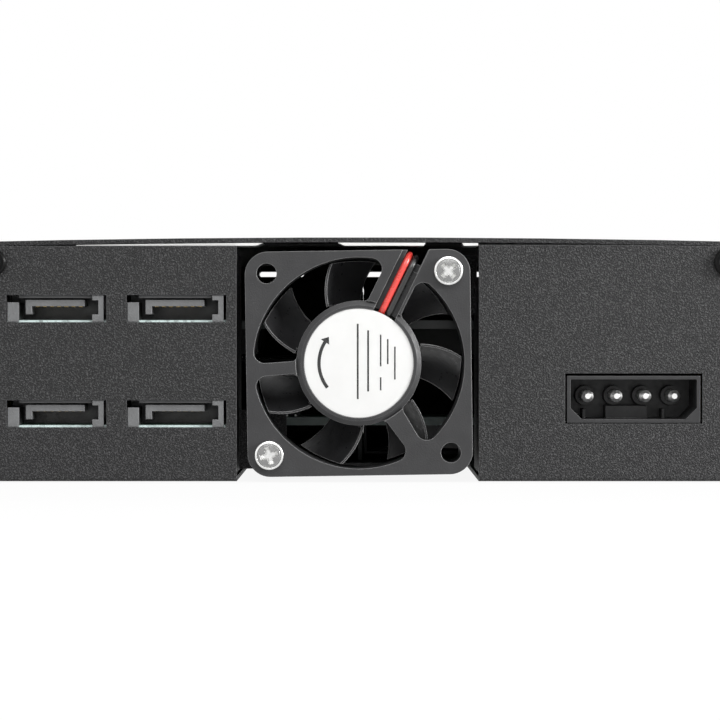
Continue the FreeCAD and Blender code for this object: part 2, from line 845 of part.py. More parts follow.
def make_lamps():
    """Status lamps on the upper board, and the light pipes that carry them to the bezel."""
    board = D.board_top + row_pitch
    y = board_front + 2.5
    half, tall = D.lamp_width / 2, 0.8
    bend = 4.0
    lamps = []
    pipes = []
    for x in LAMPS:
        lamps.append(box(x - half, x + half, y - half, y + half, board, board + tall))
        pipe = new_body("LightPipe")
        foot = board + tall + 0.05
        top, under = slot_level + half, slot_level - half
        front, back = bezel_front + 0.2, y + half
        inside = bend - D.lamp_width
        pad(pipe, "YZ", x - half, x + half, [
            (front, under), (back - bend, under, -inside), (back - D.lamp_width, under - inside),
            (back - D.lamp_width, foot), (back, foot), (back, top - bend, bend), (back - bend, top),
            (front, top)])
        pipes.append(keep_plain(pipe))
    keep("status_lamps", group(*lamps))
    keep("light_pipes", group(*pipes))


def keep_plain(body):
    body.Tip.Refine = True
    return body


# ---------------------------------------------------------------- fan


def place_fan(thing, turn=0):
    """Sets a piece modelled about the fan's axis, back from its rear face, where the fan is."""
    thing.Placement.Rotation = FreeCAD.Rotation(FreeCAD.Vector(0, 1, 0), 1)
    bind(thing, ".Placement.Rotation.Angle", D.fan_tilt - turn)
    return place(thing, D.fan_shift, rear, fan_level)


def strut_spot(angle, radius, side):
    """A place at a radius from the fan's axis, set off sideways from a radial line."""
    reach = (radius * radius - size(side) * side).sqrt()
    return turned(angle, reach, side)


def turned(angle, reach, side):
    return (reach * angle.cos() - side * angle.sin(), reach * angle.sin() + side * angle.cos())


def strut_bar(angle, start, end, low, high):
    """A rectangle that lies along a radial line."""
    return [turned(angle, size(r), s) for r, s in ((start, low), (end, low), (end, high), (start, high))]


CHANNEL = (-1.8, 2.4)
LEAD_OFFSETS = (-0.32, 0.92)
LEAD_DEPTH = 0.72
LEAD_BEND = 2.4
lead_exit = fan_size / 2 + 1.3


def make_fan_frame():
    """Square frame, hub cup on three struts, and the channel that the leads lie in."""
    body = new_body("FanFrame")
    half, deep, plate, duct, cup = fan_size / 2, D.fan_thick, D.fan_plate, duct_radius, D.cup_radius
    pad(body, "XZ", -deep, 0, rounded(-half, -half, half, half, D.fan_corner))
    channel_strut = (D.strut_angle, (-3.4, -3.4), (2.9, 2.9))
    plain_strut = (D.strut_angle - 120, (-1.12, -1.12), (1.12, 1.12))
    flared_strut = (D.strut_angle - 240, (-1.75, -1.35), (1.75, 1.35))
    windows = []
    gaps = ((flared_strut, plain_strut), (plain_strut, channel_strut), (channel_strut, flared_strut))
    for start, end in gaps:
        first, last = start[2], end[1]
        windows.append([
            (*strut_spot(start[0], duct, first[1]), duct), strut_spot(end[0], duct, last[1]),
            (*strut_spot(end[0], cup, last[0]), -cup), strut_spot(start[0], cup, first[0])])
    pocket(body, "XZ", -plate, 0, *windows)
    for radius, corner in ((duct, 1.9), (cup, 0.9)):
        round_edges(body, corner, straight_edges(
            "Y", lambda p: p.y > -plate.number and abs(math.hypot(p.x, p.z) - radius.number) < 0.01))
    pocket(body, "XZ", -deep, -plate, circle(0, 0, duct))
    pad(body, "XZ", -D.cup_depth, -plate + PRESS, circle(0, 0, cup))
    hole = fan_hole_pitch / 2
    pocket(body, "XZ", -deep, 0, *[
        circle(hole * sx, hole * sz, D.fan_hole_radius) for sx in LEFT_AND_RIGHT for sz in LEFT_AND_RIGHT])
    pocket(body, "XZ", -0.3, 0, circle(0, 0, label_radius + 0.05))
    slope, drop = 0.8, 0.5
    past = cup + PRESS
    revolve(body, "Groove", "XY", "Y", [(cup, 0), (cup - slope, 0), (cup, -drop), (past, -drop), (past, 0)])
    ceiling = -1.1
    pocket(body, "XZ", -D.cup_depth, ceiling, circle(0, 0, cup - 0.8))
    boss, bore = 3.4, 2.5
    pad(body, "XZ", -deep + 1.8, ceiling + PRESS, circle(0, 0, boss))
    pocket(body, "XZ", -deep + 1.8, ceiling, circle(0, 0, bore))
    low, high = CHANNEL
    pocket(body, "XZ", -1.3, 0, strut_bar(D.strut_angle, label_radius - 1.1, duct + 6.0, low, high))
    for depth, start in ((-2.0, lead_exit - LEAD_BEND), (-deep, lead_exit - 0.9)):
        pocket(body, "XZ", depth, 0, strut_bar(D.strut_angle, start, duct + 6.0, low + 0.8, high - 0.1))
    keep("fan_frame", place_fan(body))


# distance of each blade section from the axis, and the angles of its rear and front edges
blade_root, blade_end = D.cup_radius - 1.75, duct_radius + 0.3
BLADE_SECTIONS = (
    (blade_root, -26.0, 2.0), ((blade_root + blade_end) / 2, -18.0, 6.5), (blade_end, -8.0, 16.0))


def make_rotor():
    """Hub and swept blades, each blade lofted from the hub out and trimmed to the tip circle."""
    body = new_body("FanRotor")
    hub, wall = D.cup_radius - 0.2, 0.9
    front, back = -D.fan_thick + 0.4, -D.cup_depth - 0.5
    pad(body, "XZ", front, back, circle(0, 0, hub))
    round_edges(body, 0.8, lambda edge: abs(edge.BoundBox.YMax - front.number) < 0.01)
    trail, lead = -D.fan_plate - 0.7, front + 0.3
    sections = []
    for reach, rear_angle, front_angle in BLADE_SECTIONS:
        low, high = size(rear_angle).tan() * reach, size(front_angle).tan() * reach
        sections.append(draw(body, "YZ", reach, [[
            (lead, high, D.blade_camber), (trail, low), (trail, low + D.blade_edge, -D.blade_camber),
            (lead, high + D.blade_thick)]]))
    blade = add_feature(body, "AdditiveLoft", Profile=sections[0], Sections=sections[1:])
    repeat_turn(body, blade, "Y", D.blade_count)
    tip = duct_radius - 0.45
    pocket(body, "XZ", front - 1.0, 0, circle(0, 0, tip), circle(0, 0, duct_radius + 6.0))
    pocket(body, "XZ", back, 0, circle(0, 0, D.cup_radius + 0.35))
    pocket(body, "XZ", front + wall, back, circle(0, 0, hub - wall))
    pad(body, "XZ", front + wall - PRESS, front + wall + 0.5, circle(0, 0, 1.9), circle(0, 0, 1.05))
    keep("fan_rotor", place_fan(body, D.rotor_phase))


def make_motor():
    """Bearing, stator, circuit board, label, magnet ring and shaft inside the fan's hub."""
    bottom = -D.fan_thick + 2.0
    hub_inside = D.cup_radius - 1.1
    keep("fan_bearing", place_fan(group(ring(bottom, 2.48, 1.05, -bottom - 1.4))))
    core = fuse(
        cylinder("Y", 0, bottom + 0.8, 0, 4.6, 3.4), box(-8.2, 8.2, -6.6, -4.6, -1.4, 1.4),
        box(-1.4, 1.4, -6.6, -4.6, -8.2, 8.2))
    laminations = cut(core, cylinder("Y", 0, bottom, 0, 3.42, 6.0))
    circuit_board = ring(0.2 - D.cup_depth, 9.2, 3.5, 0.8)
    keep("fan_stator", place_fan(group(laminations, circuit_board)))
    keep("fan_label", place_fan(group(cylinder("Y", 0, -0.3, 0, label_radius, 0.15))))
    keep("rotor_magnet", place_fan(group(ring(bottom - 0.2, hub_inside - 0.05, 8.8, 4.0))))
    keep("rotor_shaft", place_fan(group(cylinder("Y", 0, bottom - 0.7, 0, 1.0, 7.1))))


PLUG_Y = -27.0
LEAD_END = 13.8


def make_leads():
    """Two leads that leave the hub along the channel, turn forward and drop to the plug."""
    turn = 2.5
    for name, side in zip(("fan_lead_red", "fan_lead_black"), LEAD_OFFSETS):
        body = new_body(name)
        depth = -LEAD_DEPTH
        start = label_radius - 1.0
        path = [
            (start, -1.78), (start + 1.9, depth), (lead_exit - LEAD_BEND, depth),
            (lead_exit, depth - LEAD_BEND), (lead_exit, PLUG_Y + turn), (lead_exit - turn, PLUG_Y),
            (LEAD_END, PLUG_Y)]
        spine = draw_path(body, side, path, {2: -LEAD_BEND, 4: -turn})
        profile = draw(body, "YZ", start, [circle(-1.78, side, D.lead_radius)])
        add_feature(body, "AdditivePipe", Profile=profile, Spine=(spine, []))
        keep(name, place_fan(body, D.strut_angle))


def draw_path(body, offset, spots, arcs):
    """An open chain of lines and arcs on a plane parallel to the body's XY plane."""
    sketch = body.newObject("Sketcher::SketchObject", "Path")
    sketch.AttachmentSupport = [(origin_feature(body, "XY_Plane"), "")]
    sketch.MapMode = "FlatFace"
    bind(sketch, ".AttachmentOffset.Base.z", offset)
    points = [FreeCAD.Vector(size(x).number, size(y).number, 0) for x, y in spots]
    for i in range(len(points) - 1):
        sketch.addGeometry(curve_between(points[i], points[i + 1], arcs.get(i, 0)), False)
    return sketch


def make_fan_plug():
    """A small header on the upper board, and the plug of the leads in it."""
    board = D.board_top + row_pitch
    lean = D.strut_angle - D.fan_tilt
    x, y = D.fan_shift + lean.cos() * LEAD_END - 0.8, rear + PLUG_Y
    half, deep, base, wall = 3.0, 2.0, 2.5, 0.8
    keep("fan_socket", fuse(
        box(x - half, x + half, y - deep, y + deep, board, board + base),
        box(x - half, x + half, y + deep, y + deep + wall, board, board + base + 2.5)))
    top = board + base + 4.2
    body = new_body("FanPlug")
    side = half - 0.3
    pad(body, "XY", board + base, top, rect(x - side, y - deep + 0.3, x + side, y + deep - 0.1))
    pocket(body, "XY", top - 2.8, top, rect(x - 2.2, y - 0.75, x + 2.0, y + 0.75))
    keep("fan_plug", body)


# ---------------------------------------------------------------- fasteners


def screw(name, x, y, z, facing, head_radius, head, length):
    """A cross-recess screw: its head stands on the given point and looks along +facing."""
    body = new_body(name)
    radius = D.thread_radius
    revolve(body, "Revolution", "XZ", "Z", [
        (0, -size(length)), (radius, -size(length)), (radius, 0), (head_radius, 0), (head_radius, head * 0.6),
        (head_radius * 0.86, head), (0, head)])
    arm, slot = head_radius * 0.6, head_radius * 0.13
    pocket(body, "XY", head * 0.3, head, [
        (-arm, -slot), (-slot, -slot), (-slot, -arm), (slot, -arm), (slot, -slot), (arm, -slot),
        (arm, slot), (slot, slot), (slot, arm), (-slot, arm), (-slot, slot), (-arm, slot)])
    body.Placement.Rotation = TURNS[facing]
    return place(body, x, y, z)


def make_screws():
    reach = D.fan_thick + D.sheet + 1.0
    keep("fan_screws", group(*[screw("FanScrew", x, rear, z, "Y", 2.55, 1.5, reach) for x, z in FAN_SCREWS]))
    case_screws = [screw("RearScrew", x, rear, z, "Y", 2.5, 0.9, 2.6) for x, z in REAR_SCREWS]
    across_head = (half_width - cover_screw_inset - cover_screw_head) / half_width
    top = D.side_height + D.sheet + D.cover_crown * (1 - across_head * across_head) + 0.02
    case_screws += [screw("CoverScrew", x, y, top, "Z", cover_screw_head, 0.55, 2.2) for x, y in COVER_SCREWS]
    keep("case_screws", group(*case_screws))


# ---------------------------------------------------------------- trays

front_inner = tray_inner + 0.1
front_outer = tray_outer - 0.1
latch_end = front_inner + D.latch_width
pin_x = front_outer - D.barrel_radius - 0.5
pin_y = front_face + D.barrel_radius
first_vent = latch_end + 18.7
VENTS = 6
GRIPS = 6
GRIP_PITCH = 1.8
EAR = 1.2
STAKES = (tray_inner + 18.0, tray_outer - 18.0)
stake_level = 5.4


def make_tray(number, row, side):
    """One tray: sheet carrier, moulded front, lever with its pin, release button and spring."""
    z = D.tray_underside + row_pitch * row
    keep(f"tray_{number}_carrier", make_carrier(z, side))
    keep(f"tray_{number}_front", make_front(z, side))
    keep(f"tray_{number}_lever", make_lever(z, side))
    pin = cylinder("Z", pin_x * side, pin_y, z + PRESS, D.pin_radius, front_height - 2 * PRESS)
    keep(f"tray_{number}_pin", pin)
    keep(f"tray_{number}_button", make_button(z, side))
    keep(f"tray_{number}_spring", make_spring(z, side))


def make_carrier(z, side):
    body = new_body("Carrier")
    t = D.tray_sheet
    x0, x1 = across(side, tray_inner, tray_outer)
    top = z + D.tray_wall
    floor = z + t
    pad(body, "XZ", front_back, tray_back, [
        (x0, z), (x1, z), (x1, top), (x1 - t, top), (x1 - t, floor), (x0 + t, floor), (x0 + t, top),
        (x0, top)])
    spans = [across(side, x - 4.0, x + 4.0) for x in STAKES]
    pad(body, "XZ", front_back, front_back + t, *[rect(a, floor - PRESS, b, z + 8.0) for a, b in spans])
    middle = (x0 + x1) / 2
    near, far = drive_back - D.drive_hole_near, front_back + D.drive_hole_front
    spread = (tray_outer - tray_inner) / 2 - D.drive_hole_edge
    holes = [(middle + spread * s, y) for s in LEFT_AND_RIGHT for y in (near, far)]
    emboss = 3.6
    pad(body, "XY", floor - PRESS, floor + D.drive_lift, *[circle(x, y, emboss) for x, y in holes])
    pocket(body, "XY", z, z + D.drive_lift, *[circle(x, y, emboss - 0.7) for x, y in holes])
    ear_top = z + front_height - 2.2
    for wall in (rect(x0, top - PRESS, x0 + t, ear_top), rect(x1 - t, top - PRESS, x1, ear_top)):
        pad(body, "XZ", front_back, front_back + 5.0, wall)
    inset, corner, length = 11.0, 3.0, 26.0
    pocket(body, "XY", z, floor + D.drive_lift, *[circle(x, y, D.clear_radius) for x, y in holes], *[
        rounded(x0 + inset, y, x1 - inset, y + length, corner) for y in (tray_back - 76.0, tray_back - 42.0)])
    side_hole = floor + D.drive_lift + 3.0
    pocket(body, "YZ", x0, x1, *[circle(y, side_hole, D.clear_radius) for y in (near, far)])
    pocket(body, "XZ", front_back, front_back + t, *[circle(x * side, z + stake_level, 1.05) for x in STAKES])
    return body


def make_front(z, side):
    """Moulded front: a vented plate behind the lever, a fork for its pin, a box for the button."""
    body = new_body("Front")
    top = z + front_height
    middle = (z + top) / 2
    plate = front_back - 1.7
    wall = 1.5
    pad(body, "XZ", front_face, front_back, flat(side, front_inner, front_outer, z, top))
    pocket(body, "XZ", front_face, plate, flat(side, latch_end, front_outer + PRESS, z + EAR, top - EAR))
    pocket(body, "XZ", plate - PRESS, front_back, flat(
        side, pin_x - D.barrel_radius - 2.6, front_outer + PRESS, z + EAR, top - EAR))
    pocket(body, "XY", z, top, circle(pin_x * side, pin_y, D.pin_radius + 0.02))
    pocket(body, "XZ", front_face + wall, front_back - wall, flat(
        side, front_inner + 1.0, latch_end + PRESS, z + 2.4, top - 2.4))
    pocket(body, "XZ", front_face, front_face + wall, flat(
        side, front_inner + 1.6, front_inner + 8.4, z + 3.9, top - 3.9))
    vent = pocket(body, "XZ", plate, front_back, flat(
        side, first_vent, first_vent + D.vent_width, middle - D.vent_height / 2, middle + D.vent_height / 2))
    repeat_line(body, vent, "X", D.vent_pitch * (VENTS - 1), VENTS, side < 0)
    stakes = [(x * side, z + stake_level) for x in STAKES]
    t = D.tray_sheet
    pad(body, "XZ", front_back - PRESS, front_back + t, *[circle(x, h, 0.95) for x, h in stakes])
    pad(body, "XZ", front_back + t, front_back + 2 * t, *[circle(x, h, 1.7) for x, h in stakes])
    return body


def flat(side, low, high, z0, z1):
    """A rectangle given for the right-hand column, mirrored for the left-hand one."""
    x0, x1 = across(side, low, high)
    return rect(x0, z0, x1, z1)


def make_lever(z, side):
    """Modelled with its pin on the body's own Z axis, then set in place."""
    body = new_body("Lever")
    play = 0.2
    low = z + EAR + play
    tall = front_height - 2 * EAR - 2 * play
    r = D.barrel_radius
    middle = tall / 2
    tip, base = across(side, latch_end + 0.4 - pin_x, 0)
    pad(body, "XY", 0, tall, rect(tip, -r, base, D.lever_thick - r))
    pad(body, "XY", 0, tall, circle(0, 0, r - 0.02))
    toe = [(0.5, -1.6), (2.8, -1.6), (3.6, -0.6), (3.6, 0.2), (0.5, 0.2)]
    if side < 0:
        toe = [(-x, y) for x, y in reversed(toe)]
    pad(body, "XY", 2.0, tall - 2.0, toe)
    pocket(body, "XY", 0, tall, circle(0, 0, D.pin_radius + D.pin_clearance))
    start = first_vent - pin_x
    vent = pocket(body, "XZ", -r, D.lever_thick - r, flat(
        side, start, start + D.vent_width, middle - D.vent_height / 2, middle + D.vent_height / 2))
    repeat_line(body, vent, "X", D.vent_pitch * (VENTS - 1), VENTS, side < 0)
    start = latch_end + 2.4 - pin_x
    groove = pocket(body, "XZ", -r, 0.45 - r, flat(side, start, start + 0.9, 1.6, tall - 1.6))
    repeat_line(body, groove, "X", GRIP_PITCH * (GRIPS - 1), GRIPS, side < 0)
    return place(body, pin_x * side, pin_y, low)


def make_button(z, side):
    """A nose that slides in the box of the front, with a thumb pad in its window."""
    body = new_body("Button")
    inside, pad_edge = 2.8, 4.2
    top = z + front_height
    pad(body, "XZ", front_face + 1.7, front_face + 4.4, flat(
        side, front_inner + 3.4, latch_end + 0.2, z + inside, top - inside))
    pad(body, "XZ", front_face - 0.4, front_face + 1.8, flat(
        side, front_inner + 3.8, front_inner + 8.2, z + pad_edge, top - pad_edge))
    return body


def make_spring(z, side):
    """A thin leaf bent into a V between the box's wall and the button."""
    body = new_body("Spring")
    middle = z + front_height / 2
    thin, gap = 0.3, 0.05
    low, high = front_inner + 1.0 + gap, front_inner + 3.4 - gap
    y0, y1 = front_face + 1.9, front_face + 4.2
    bend = (y0 + y1) / 2
    outline = [(low, y0), (low + thin, y0), (high, bend), (low + thin, y1), (low, y1), (high - thin, bend)]
    if side < 0:
        outline = [(-x, y) for x, y in reversed(outline)]
    pad(body, "XY", middle - 3.0, middle + 3.0, outline)
    return body


# ---------------------------------------------------------------- build


def check_and_write():
    doc.recompute()
    faults = [f"{o.Name} ({o.Label}): {o.State}" for o in doc.Objects if {"Invalid", "Error"} & set(o.State)]
    for name, thing in parts.items():
        shape = thing.Shape
        if shape.isNull() or not shape.isValid() or not shape.Solids:
            faults.append(f"{name}: no valid shape")
    if faults:
        raise RuntimeError("; ".join(faults))
    os.makedirs("parts", exist_ok=True)
    for name, thing in parts.items():
        thing.Shape.exportStep(f"parts/{name}.step")
        print(f"{name}: {len(thing.Shape.Solids)} solids, {thing.Shape.Volume:.1f} mm3")


make_chassis()
make_guides()
make_cover()
make_divider()
make_bezel()
make_boards()
make_posts()
make_drive_sockets()
make_ports()
make_power_inlet()
make_lamps()
make_fan_frame()
make_rotor()
make_motor()
make_leads()
make_fan_plug()
make_screws()
for count, (tray_row, tray_side) in enumerate(((0, 1), (0, -1), (1, 1), (1, -1)), start=1):
    make_tray(count, tray_row, tray_side)
check_and_write()
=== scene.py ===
import json
import math
import random

import bmesh
import bpy
from mathutils import Matrix, Vector


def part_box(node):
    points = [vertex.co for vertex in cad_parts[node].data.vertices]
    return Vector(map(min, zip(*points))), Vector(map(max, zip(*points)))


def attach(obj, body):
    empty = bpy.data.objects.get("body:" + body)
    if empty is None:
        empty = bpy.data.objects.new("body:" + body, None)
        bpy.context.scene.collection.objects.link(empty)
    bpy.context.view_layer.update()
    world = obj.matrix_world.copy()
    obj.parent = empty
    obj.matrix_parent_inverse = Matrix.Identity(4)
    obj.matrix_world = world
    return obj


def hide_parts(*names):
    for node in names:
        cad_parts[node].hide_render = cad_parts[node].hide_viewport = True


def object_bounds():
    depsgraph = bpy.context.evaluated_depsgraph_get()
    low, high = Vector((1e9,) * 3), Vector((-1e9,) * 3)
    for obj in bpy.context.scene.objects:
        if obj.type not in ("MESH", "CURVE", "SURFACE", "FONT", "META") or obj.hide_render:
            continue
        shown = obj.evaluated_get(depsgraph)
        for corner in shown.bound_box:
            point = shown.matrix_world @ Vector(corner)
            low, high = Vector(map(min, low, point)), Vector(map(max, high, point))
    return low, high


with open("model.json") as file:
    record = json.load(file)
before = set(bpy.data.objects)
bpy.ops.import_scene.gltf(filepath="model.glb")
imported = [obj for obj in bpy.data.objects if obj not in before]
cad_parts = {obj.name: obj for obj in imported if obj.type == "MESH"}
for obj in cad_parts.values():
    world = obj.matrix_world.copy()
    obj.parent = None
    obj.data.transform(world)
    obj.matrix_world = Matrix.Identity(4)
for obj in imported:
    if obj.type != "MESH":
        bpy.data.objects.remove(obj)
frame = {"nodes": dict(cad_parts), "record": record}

cad_low, cad_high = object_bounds()
nodes = frame["nodes"]
MM = 0.001
PORTS = (1, 2, 3, 4)


# ---------------------------------------------------------------- materials


def grey(level):
    return (level, level, level)


class Shader:
    """A Principled material with a few short helpers for the nodes that feed it."""

    def __init__(self, name, color, roughness, metallic=0.0, specular=0.5, coat=0.0, coat_roughness=0.1,
                 ior=1.5, transmission=0.0):
        self.material = bpy.data.materials.new(name)
        self.material.use_nodes = True
        self.tree = self.material.node_tree
        self.tree.nodes.clear()
        output = self.add("ShaderNodeOutputMaterial")
        self.surface = self.add("ShaderNodeBsdfPrincipled")
        self.link(self.surface.outputs[0], output.inputs["Surface"])
        self.set(self.surface, {
            "Base Color": (*color, 1.0), "Roughness": roughness, "Metallic": metallic,
            "Specular IOR Level": specular, "Coat Weight": coat, "Coat Roughness": coat_roughness,
            "IOR": ior, "Transmission Weight": transmission})
        self.coordinates = self.add("ShaderNodeTexCoord").outputs["Object"]
        self.bump = None

    def add(self, kind, **values):
        node = self.tree.nodes.new(kind)
        for key, value in values.items():
            setattr(node, key, value)
        return node

    def link(self, a, b):
        self.tree.links.new(a, b)

    def set(self, node, values):
        for key, value in values.items():
            node.inputs[key].default_value = value
        return node

    def noise(self, scale, detail=2.0, roughness=0.5, stretch=None):
        """Noise over the object's own coordinates, in lumps per metre, from 0 to 1."""
        where = self.coordinates
        if stretch:
            mapping = self.set(self.add("ShaderNodeMapping"), {"Scale": stretch})
            self.link(where, mapping.inputs["Vector"])
            where = mapping.outputs[0]
        node = self.set(self.add("ShaderNodeTexNoise"), {
            "Scale": scale, "Detail": detail, "Roughness": roughness})
        self.link(where, node.inputs["Vector"])
        return node.outputs["Fac"]

    def span(self, value, source, target):
        """Maps a value from one (low, high) range to another, and keeps it within that."""
        node = self.set(self.add("ShaderNodeMapRange"), {
            "From Min": source[0], "From Max": source[1], "To Min": target[0], "To Max": target[1]})
        self.link(value, node.inputs["Value"])
        return node.outputs[0]

    def math(self, operation, *values):
        """A calculation on sockets and plain numbers."""
        node = self.add("ShaderNodeMath", operation=operation)
        for socket, value in zip(node.inputs, values):
            if isinstance(value, float):
                socket.default_value = value
            else:
                self.link(value, socket)
        return node.outputs[0]

    def axes(self, vector):
        """The sockets X, Y and Z of a vector."""
        node = self.add("ShaderNodeSeparateXYZ")
        self.link(vector, node.inputs[0])
        return node.outputs

    def normal(self):
        """The normal of the mesh itself, without any bump."""
        return self.add("ShaderNodeNewGeometry").outputs["Normal"]

    def tint(self, factor, other):
        """Mixes another colour into the base colour by a factor."""
        target = self.surface.inputs["Base Color"]
        node = self.add("ShaderNodeMix", data_type="RGBA")
        if target.is_linked:
            self.link(target.links[0].from_socket, node.inputs["A"])
        else:
            node.inputs["A"].default_value = target.default_value
        node.inputs["B"].default_value = (*other, 1.0)
        self.link(factor, node.inputs["Factor"])
        self.link(node.outputs["Result"], target)

    def paint_recess_shade(self, distance, share):
        """Paints shade into recesses narrower than the distance, blackening them by a share."""
        node = self.set(self.add("ShaderNodeAmbientOcclusion", samples=8), {"Distance": distance})
        self.tint(self.span(node.outputs["AO"], (0.25, 0.9), (share, 0.0)), grey(0.0))

    def rough(self, factor, low, high):
        """Lets the roughness wander between two values."""
        self.link(self.span(factor, (0.3, 0.7), (low, high)), self.surface.inputs["Roughness"])

    def emboss(self, height, distance, strength):
        """Adds a bump, in metres of depth, on top of the bumps so far."""
        node = self.set(self.add("ShaderNodeBump"), {"Strength": strength, "Distance": distance})
        self.link(height, node.inputs["Height"])
        if self.bump:
            self.link(self.bump, node.inputs["Normal"])
        self.bump = node.outputs[0]
        self.link(self.bump, self.surface.inputs["Normal"])

    def soften(self, radius):
        """Rounds sharp edges in the shading, and returns a mask of where they are."""
        node = self.set(self.add("ShaderNodeBevel", samples=6), {"Radius": radius})
        self.bump = node.outputs[0]
        self.link(self.bump, self.surface.inputs["Normal"])
        dot = self.add("ShaderNodeVectorMath", operation="DOT_PRODUCT")
        self.link(self.bump, dot.inputs[0])
        self.link(self.normal(), dot.inputs[1])
        return self.span(dot.outputs["Value"], (0.985, 0.8), (0.0, 1.0))


def powder_coat(name, color, crest_highlight, edge_highlight_color, relief):
    """Baked powder: a fine wrinkle with a painted highlight on its crests, and a painted highlight along the
    bent edges.
    """
    s = Shader(name, color, roughness=0.5, specular=0.32)
    edge = s.soften(radius=0.20 * MM)
    grain = s.noise(3300.0, roughness=0.65)
    # Painted highlight on the crests of the wrinkle.
    s.tint(s.span(grain, (0.5, 0.66), (0.0, 0.85)), crest_highlight)
    # Painted highlight along the bent edges.
    s.tint(s.math("MULTIPLY", edge, 0.6), edge_highlight_color)
    s.rough(s.noise(700.0), 0.42, 0.6)
    s.emboss(grain, relief, strength=0.9)
    s.emboss(s.noise(140.0), 0.06 * MM, strength=0.15)
    return s.material


def plastic(name, color, roughness, grain, depth, edge_highlight_color=None, edge_highlight_share=0.5, specular=0.4, shade=None):
    """Moulded plastic: a faint mottle and a fine grain, and where asked a painted highlight along the edges
    and painted shade in the recesses.
    """
    s = Shader(name, color, roughness, specular=specular)
    edge = s.soften(radius=0.18 * MM)
    paler = tuple(c * 1.5 + 0.004 for c in color)
    s.tint(s.span(s.noise(300.0, detail=3.0), (0.35, 0.7), (0.0, 0.35)), paler)
    # Painted highlight along the edges.
    if edge_highlight_color:
        s.tint(s.math("MULTIPLY", edge, edge_highlight_share), edge_highlight_color)
    # Painted shade in the recesses.
    if shade:
        s.paint_recess_shade(shade, share=0.85)
    s.rough(s.noise(grain * 0.4), roughness - 0.07, roughness + 0.09)
    s.emboss(s.noise(grain, detail=3.0, roughness=0.55), depth, strength=0.6)
    return s.material


def metal(name, color, roughness, brushed=None):
    """Bare metal with a fine mottle, stretched (under 1) or squeezed (over 1) along each axis where asked."""
    s = Shader(name, color, roughness, metallic=1.0)
    s.soften(radius=0.08 * MM)
    lines = s.noise(2200.0, detail=3.0, roughness=0.6, stretch=brushed)
    s.tint(s.span(lines, (0.35, 0.7), (0.0, 0.4)), tuple(c * 0.72 for c in color))
    s.rough(lines, roughness - 0.1, roughness + 0.12)
    s.emboss(lines, 0.01 * MM, strength=0.5)
    return s.material


def bright_screw(face):
    """Nickel plate with painted shade in the recesses and on the flat outer faces of the heads, which lie
    past a plane across Y.
    """
    s = Shader("screw_nickel", (0.86, 0.86, 0.85), roughness=0.26, metallic=1.0)
    s.soften(radius=0.08 * MM)
    # Painted shade in the cross recess and the ring groove.
    s.paint_recess_shade(0.28 * MM, share=0.9)
    wear = s.noise(2200.0, detail=3.0, roughness=0.6)
    s.tint(s.span(wear, (0.35, 0.7), (0.0, 0.4)), (0.60, 0.60, 0.59))
    # Painted shade on the flat outer faces of the heads.
    shaded_face = s.span(s.axes(s.coordinates)["Y"], (face, face + 0.04 * MM), (0.0, 0.85))
    s.tint(shaded_face, grey(0.20))
    s.rough(wear, 0.18, 0.4)
    s.emboss(wear, 0.03 * MM, strength=0.5)
    return s.material


def circuit_board(name, top, laminate_and_shade):
    """Green mask with faint traces, and bare cut edges below the mask, coloured as given and with a painted
    highlight on the ports' side.
    """
    s = Shader(name, (0.008, 0.050, 0.026), roughness=0.32, specular=0.4, coat=0.2, coat_roughness=0.2)
    s.soften(radius=0.1 * MM)
    grid = s.set(s.add("ShaderNodeTexBrick"), {
        "Scale": 190.0, "Mortar Size": 0.045,
        "Color1": (0, 0, 0, 1), "Color2": (0, 0, 0, 1), "Mortar": (1, 1, 1, 1)})
    s.link(s.coordinates, grid.inputs["Vector"])
    routed = s.span(s.noise(60.0, detail=1.0), (0.48, 0.52), (0.0, 1.0))
    traces = s.math("MULTIPLY", grid.outputs["Color"], routed)
    place = s.axes(s.coordinates)
    edge = s.span(s.math("ABSOLUTE", s.axes(s.normal())["Z"]), (0.45, 0.55), (1.0, 0.0))
    below_mask = s.span(place["Z"], (top - 0.16 * MM, top - 0.06 * MM), (1.0, 0.0))
    bare = s.math("MULTIPLY", edge, below_mask)
    # Painted highlight on the bare cut edges on the ports' side, patchy with noise.
    ports_side = s.span(place["X"], (22 * MM, 24 * MM), (0.0, 1.0))
    ports_side_highlight = s.math("MULTIPLY", ports_side, s.span(s.noise(1400.0), (0.35, 0.55), (0.45, 1.0)))
    s.tint(s.math("MULTIPLY", traces, 0.8), (0.03, 0.16, 0.07))
    s.tint(edge, (0.010, 0.020, 0.018))
    s.tint(bare, laminate_and_shade)
    s.tint(s.math("MULTIPLY", bare, ports_side_highlight), (0.72, 0.86, 0.84))
    s.emboss(traces, 0.03 * MM, strength=0.5)
    return s.material


def light_guide():
    """Clear plastic, a little cloudy inside."""
    s = Shader("light_guide", (0.93, 0.96, 0.97), roughness=0.22, ior=1.49, transmission=0.35)
    s.emboss(s.noise(500.0), 0.02 * MM, strength=0.2)
    s.tint(s.span(s.noise(150.0), (0.4, 0.7), (0.0, 0.3)), (0.80, 0.86, 0.88))
    return s.material


def label_film():
    """Pale printed film, slightly uneven over its glue."""
    s = Shader("label_film", (0.70, 0.70, 0.69), roughness=0.42, coat=0.15, coat_roughness=0.3)
    s.tint(s.span(s.noise(240.0, detail=3.0), (0.4, 0.7), (0.0, 0.3)), (0.62, 0.62, 0.61))
    s.emboss(s.noise(700.0), 0.02 * MM, strength=0.3)
    return s.material


SCREW_RADIUS = 2.55 * MM
SCREW_HEAD = SCREW_RADIUS * 0.56
